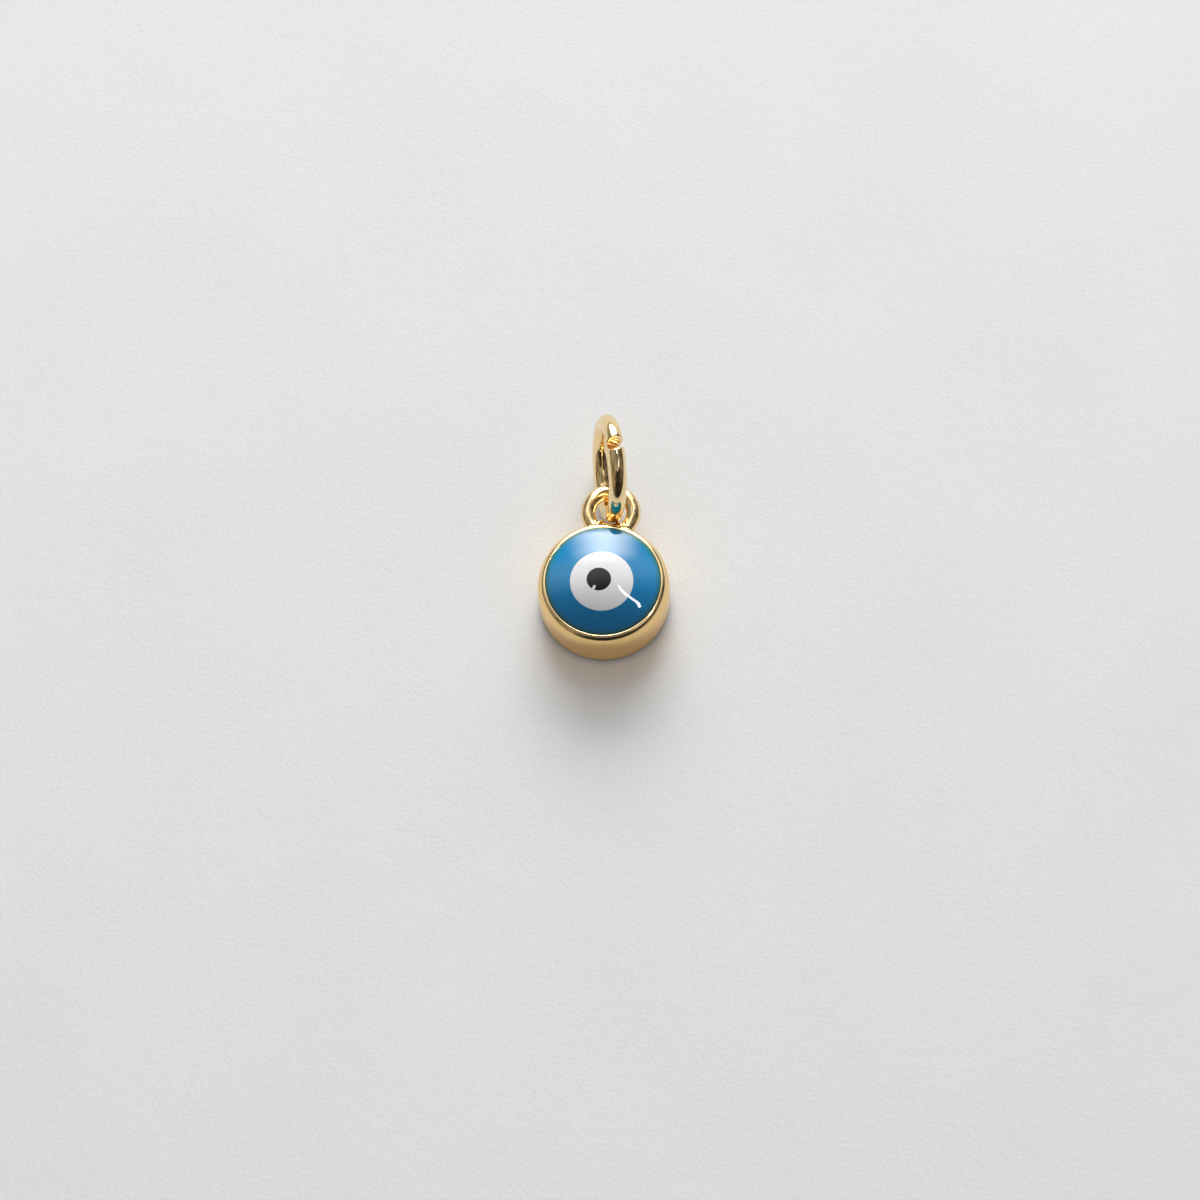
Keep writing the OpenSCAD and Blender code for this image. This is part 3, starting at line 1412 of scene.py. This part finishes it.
@dataclass
class LightPanel:
    """Flat glowing panel that faces the pendant.

    Attributes:
        name: Name of the panel.
        azimuth: Degrees to the right of straight away from the camera.
        elevation: Degrees above the table.
        distance: How far off it is.
        width: Angle that it takes across, in degrees.
        height: Angle that it takes up, in degrees.
        glow: Its light.
        mirrored_only: Whether it shows only in mirrored light and lights nothing else.
    """

    name: str
    azimuth: float
    elevation: float
    distance: float
    width: float
    height: float
    glow: Glow
    mirrored_only: bool = False

    def build(self, view: Viewpoint) -> None:
        """Makes the panel in its place; it is seen only by the light.

        Args:
            view: The directions as the photograph sees them.
        """
        out = view.direction(self.azimuth, self.elevation)
        right = Vector((out.y, -out.x, 0)).normalized()
        up = right.cross(out)
        half_w = self.distance * math.tan(math.radians(self.width / 2))
        half_h = self.distance * math.tan(math.radians(self.height / 2))
        middle = out * self.distance
        sheet = MeshSheet()
        corners = ((-1, -1), (1, -1), (1, 1), (-1, 1))
        sheet.face(sheet.row([middle + right * half_w * a + up * half_h * b for a, b in corners]))
        panel = sheet.make(self.name)
        layer = panel.data.uv_layers.new(name="panel")
        for corner in panel.data.loops:
            a, b = corners[corner.vertex_index]
            layer.data[corner.index].uv = ((a + 1) / 2, (b + 1) / 2)
        self.glow.dress(panel)
        hide_from_camera(panel, self.mirrored_only)


@dataclass
class DimRoom:
    """Dim half of the room behind the camera, which the polished metal mirrors.

    Attributes:
        radius: How far off its walls are.
        start: Degrees to the right of straight away from the camera, where it starts.
        end: Degrees where it ends.
        low: Degrees above the table of its lower edge.
        high: Degrees above the table of its upper edge.
        walls: Light of the room at shares of the way round, from start to end.
        clutter: Spacing of the dark and pale things in it, as a share of its radius.
    """

    radius: float = 500.0
    start: float = 66.0
    end: float = 294.0
    low: float = 3.0
    high: float = 60.0
    walls: tuple[tuple[float, Colour], ...] = (
        (0.0, (0.10, 0.09, 0.08)), (0.16, (0.16, 0.14, 0.12)), (0.32, (0.05, 0.045, 0.04)),
        (0.50, (0.02, 0.02, 0.02)), (0.62, (0.04, 0.035, 0.03)), (0.76, (0.26, 0.23, 0.18)),
        (1.0, (0.30, 0.27, 0.22)),
    )
    clutter: float = 0.22

    def material(self) -> bpy.types.Material:
        """Makes the light of the room from the place round it, broken up by soft clutter.

        Returns:
            The material.
        """
        shader = Shader("dim_room")
        detail, dark, pale = 3.0, 0.35, 1.7
        shader.black_glow()
        ramp = shader.node("ShaderNodeValToRGB")
        shader.link(shader.face_place()["X"], ramp.inputs["Fac"])
        fill_ramp(ramp, self.walls)
        shader.link(ramp.outputs["Color"], shader.surface.inputs["Emission Color"])
        things = shader.noise(shader.place(), self.clutter * self.radius, detail)
        shader.link(shader.spread(things, *TONE_SPAN, dark, pale, smooth=True),
                    shader.surface.inputs["Emission Strength"])
        shader.material.cycles.emission_sampling = "NONE"
        return shader.material

    def build(self, view: Viewpoint) -> None:
        """Makes the room's walls as a part of a ball.

        Args:
            view: The directions as the photograph sees them.
        """
        across, up = 48, 12
        sheet = MeshSheet()
        rows = []
        for line in range(up + 1):
            lift = self.low + (self.high - self.low) * line / up
            turns = [self.start + (self.end - self.start) * step / across for step in range(across + 1)]
            rows.append(sheet.row([view.direction(turn, lift) * self.radius for turn in turns]))
        for before, after in zip(rows, rows[1:]):
            for k in range(across):
                sheet.face((before[k], before[k + 1], after[k + 1], after[k]))
        room = sheet.make("dim_room")
        layer = room.data.uv_layers.new(name="room")
        for corner in room.data.loops:
            line, step = divmod(corner.vertex_index, across + 1)
            layer.data[corner.index].uv = (step / across, line / up)
        room.data.materials.append(self.material())
        hide_from_camera(room, True)


@dataclass
class GlowStroke:
    """Thin curved light overhead, which the eye mirrors as a bright stroke.

    Attributes:
        distance: How far off it is.
        path: Its run: degrees to the right of straight away, degrees above the table, width in degrees.
        radiance: How bright it is.
    """

    distance: float = 300.0
    path: tuple[tuple[float, float, float], ...] = (
        (18.2, 70.8, 0.3), (18.8, 71.0, 0.7), (23.7, 72.3, 0.75), (28.7, 73.2, 0.75), (36.8, 73.6, 0.8),
        (47.1, 73.5, 0.9), (52.9, 73.2, 1.2), (57.0, 73.3, 1.4), (59.0, 73.7, 1.2), (60.2, 74.0, 0.5),
    )
    radiance: float = 26.0

    def build(self, view: Viewpoint) -> None:
        """Makes the light as a ribbon along its path.

        Args:
            view: The directions as the photograph sees them.
        """
        places = [view.direction(turn, lift) * self.distance for turn, lift, _width in self.path]
        sheet = MeshSheet()
        pairs = []
        for k, (place, row) in enumerate(zip(places, self.path)):
            run = places[min(k + 1, len(places) - 1)] - places[max(k - 1, 0)]
            side = run.cross(place).normalized() * self.distance * math.radians(row[2]) / 2
            pairs.append(sheet.row([place - side, place + side]))
        for before, after in zip(pairs, pairs[1:]):
            sheet.face((before[0], before[1], after[1], after[0]))
        ribbon = sheet.make("glow_stroke")
        shader = Shader("stroke_glow")
        shader.black_glow()
        shader.set(Emission_Color=(*DAYLIGHT, 1), Emission_Strength=self.radiance)
        ribbon.data.materials.append(shader.material)
        hide_from_camera(ribbon, True)


@dataclass
class WallBounce:
    """Warm light that the gold wall throws on the paper before it, as a clear skirt round its near side.

    Attributes:
        radius: Distance of the skirt from the cup's axis.
        low: Height of its lower edge.
        high: Height of its upper edge.
        reach: Degrees that it takes to each side of the near side's middle.
        colour: Colour of the light.
        radiance: How bright it is.
    """

    radius: float = 3.02
    low: float = 0.25
    high: float = 2.0
    reach: float = 62.0
    colour: Colour = (0.95, 0.52, 0.12)
    radiance: float = 0.45

    def build(self, view: Viewpoint) -> None:
        """Makes the skirt, which only the paper sees.

        Args:
            view: The directions as the photograph sees them.
        """
        steps, front = 48, 180
        sheet = MeshSheet()
        turns = [front - self.reach + 2 * self.reach * step / steps for step in range(steps + 1)]
        places = [view.direction(turn, 0) * self.radius for turn in turns]
        low = sheet.row([place + Vector((0, 0, self.low)) for place in places])
        high = sheet.row([place + Vector((0, 0, self.high)) for place in places])
        for k in range(steps):
            sheet.face((low[k], low[k + 1], high[k + 1], high[k]))
        skirt = sheet.make("wall_bounce")
        shader = Shader("wall_bounce_glow")
        shader.glow(self.colour, self.radiance)
        skirt.data.materials.append(shader.material)
        skirt.visible_glossy = False
        hide_from_camera(skirt, False)


@dataclass
class StudioLight:
    """Soft daylight: a window behind the pendant, and a room that is pale low down and dim overhead.

    Attributes:
        ramp: Light of the room at rising heights: the sine of the elevation, and the light there.
        far_share: Share of that light on the window's side.
        turn: Where the light starts and stops to rise from that share, from -1 on the window's side to 1.
        panels: The glowing panels.
        dim_room: The dim half of the room.
        stroke: The thin light that shows on the eye.
        bounce: The warm light off the cup's wall.
    """

    ramp: tuple[Flat, ...] = ((0.0, 0.4), (0.45, 0.4), (0.75, 0.42), (0.9, 0.42), (0.97, 0.25), (1.0, 0.2))
    far_share: float = 0.7
    turn: Flat = (-0.5, 0.5)
    panels: tuple[LightPanel, ...] = (
        LightPanel("low_window", 6, 24, 600, 66, 40, Glow("low_window_glow", DAYLIGHT, 10.5, (0.4, 0.35))),
        LightPanel("sill", 2, 45, 600, 60, 16, Glow("sill_glow", DAYLIGHT, 2.5, (0.5, 0.5)), True),
        LightPanel("window", 3, 51, 600, 32, 22, Glow("window_glow", DAYLIGHT, 6.6, (0.5, 0.35))),
        LightPanel("window_glare", 3, 51, 598, 29, 22, Glow("glare_glow", DAYLIGHT, 8.5, (0.5, 0.35)), True),
        LightPanel("ceiling", 0, 63, 600, 80, 22, Glow("ceiling_glow", DAYLIGHT, 1.2, (0.4, 0.5))),
        LightPanel("lamp", 118, 60, 500, 26, 22, Glow("lamp_glow", DAYLIGHT, 1.6, (0.3, 0.3)), True),
    )
    dim_room: DimRoom = field(default_factory=DimRoom)
    stroke: GlowStroke = field(default_factory=GlowStroke)
    bounce: WallBounce = field(default_factory=WallBounce)

    def room(self, view: Viewpoint) -> None:
        """Makes the light of the room, dim overhead and on the window's side.

        Args:
            view: The directions as the photograph sees them.
        """
        world = bpy.data.worlds.new("room")
        bpy.context.scene.world = world
        world.use_nodes = True
        nodes, links = world.node_tree.nodes, world.node_tree.links
        nodes.clear()
        place = nodes.new("ShaderNodeTexCoord")
        parts = nodes.new("ShaderNodeSeparateXYZ")
        links.new(place.outputs["Generated"], parts.inputs["Vector"])
        ramp = nodes.new("ShaderNodeValToRGB")
        links.new(parts.outputs["Z"], ramp.inputs["Fac"])
        fill_ramp(ramp, [(height, (light, light, light)) for height, light in self.ramp])
        near = nodes.new("ShaderNodeVectorMath")
        near.operation = "DOT_PRODUCT"
        near.inputs[1].default_value = view.direction(180, 0)
        links.new(place.outputs["Generated"], near.inputs[0])
        turn = nodes.new("ShaderNodeMapRange")
        turn.interpolation_type = "SMOOTHSTEP"
        turn.inputs["From Min"].default_value, turn.inputs["From Max"].default_value = self.turn
        turn.inputs["To Min"].default_value = self.far_share
        links.new(near.outputs["Value"], turn.inputs["Value"])
        back = nodes.new("ShaderNodeBackground")
        links.new(ramp.outputs["Color"], back.inputs["Color"])
        links.new(turn.outputs["Result"], back.inputs["Strength"])
        output = nodes.new("ShaderNodeOutputWorld")
        links.new(back.outputs["Background"], output.inputs["Surface"])

    def build(self, view: Viewpoint) -> None:
        """Lights the scene.

        Args:
            view: The directions as the photograph sees them.
        """
        self.room(view)
        for panel in self.panels:
            panel.build(view)
        self.dim_room.build(view)
        self.stroke.build(view)
        self.bounce.build(view)
        bpy.context.scene.view_settings.view_transform = "Standard"
        log.info("studio light: %d panels", len(self.panels))


@dataclass
class PhotoCamera:
    """Camera that stands where the photograph was taken from.

    Attributes:
        view: The directions as the photograph sees them.
        distance: Distance from the part's origin.
        lens: Focal length.
        sensor: Side of the sensor.
        aside: How far the camera stands to the right and up, in its own frame.
        sight: Nearest and farthest distance that it sees, in metres.
    """

    view: Viewpoint
    distance: float = 153.0
    lens: float = 100.0
    sensor: float = 36.0
    aside: Flat = (-0.2125, 0.0275)
    sight: Flat = (MM, 10.0)

    def build(self) -> None:
        """Makes the camera and gives it to the scene."""
        a, e, r = self.view.azimuth, self.view.elevation, self.view.roll
        back = Vector((math.sin(a) * math.cos(e), -math.cos(a) * math.cos(e), math.sin(e)))
        level = Vector((math.cos(a), math.sin(a), 0))
        rise = back.cross(level)
        right = level * math.cos(r) - rise * math.sin(r)
        up = level * math.sin(r) + rise * math.cos(r)
        data = bpy.data.cameras.new("photo_camera")
        data.lens = self.lens
        data.sensor_width = self.sensor
        data.clip_start, data.clip_end = self.sight
        camera = bpy.data.objects.new("photo_camera", data)
        spot = (back * self.distance + right * self.aside[0] + up * self.aside[1]) * MM
        turned = Matrix((right, up, back)).transposed().to_4x4()
        camera.matrix_world = Matrix.Translation(spot) @ turned
        bpy.context.scene.collection.objects.link(camera)
        bpy.context.scene.camera = camera
        log.info("camera: %.1f mm off, %.1f degrees up", self.distance, math.degrees(e))


def main() -> None:
    """Builds the pendant's pieces in order, then the stage round them."""
    logging.basicConfig(level=logging.INFO, format="%(name)s: %(message)s")
    view = Viewpoint()
    PlatedSetting().build()
    GlossEye().build()
    JumpRing().build()
    PaperTable().build()
    StudioLight().build(view)
    PhotoCamera(view).build()


if __name__ == "__main__":
    main()
